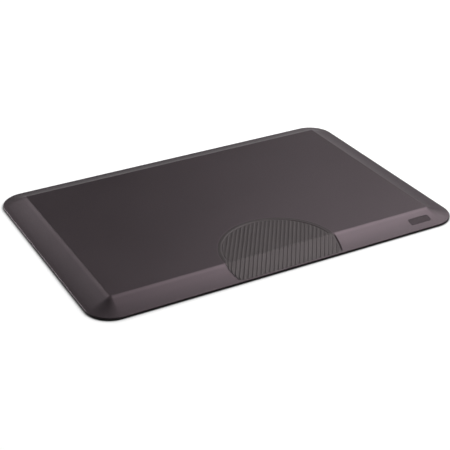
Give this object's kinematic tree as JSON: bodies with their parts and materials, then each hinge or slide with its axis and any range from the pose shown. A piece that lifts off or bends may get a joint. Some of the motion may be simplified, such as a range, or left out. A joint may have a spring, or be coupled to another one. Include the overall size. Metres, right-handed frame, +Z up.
{
  "type": "anti fatigue mat",
  "caption": "Cushioned floor mat for a standing desk: flat top, ramped sides, round ribbed foot grip across the front ramp, rubber underside with inset pads.",
  "frame": {"origin": "on the floor, under the middle of the mat, at the underside of the centre pad", "axes": "+X along the long front edge towards the badge, +Y from the ramp with the foot grip to the back, +Z up"},
  "size_m": [0.762, 0.508, 0.02],
  "materials": {
    "skin_polyurethane": "satin, very fine moulded grain",
    "core_foam": "closed-cell foam, matte",
    "grip_rubber": "satin ribs, matte floor",
    "badge_plastic": "satin, blank",
    "scrim_fabric": "open plain weave",
    "base_rubber": "matte, fine raised texture underneath",
    "pad_rubber": "tacky matte"
  },
  "bodies": {
    "root": {"top_skin": "skin_polyurethane", "foam_core": "core_foam", "foot_grip_insert": "grip_rubber", "badge_plate": "badge_plastic", "reinforcement_scrim": "scrim_fabric", "base_sheet": "base_rubber", "anti_slip_pad_centre": "pad_rubber", "anti_slip_pad_front_left": "pad_rubber", "anti_slip_pad_front_right": "pad_rubber", "anti_slip_pad_rear_left": "pad_rubber", "anti_slip_pad_rear_right": "pad_rubber"}
  },
  "joints": []
}
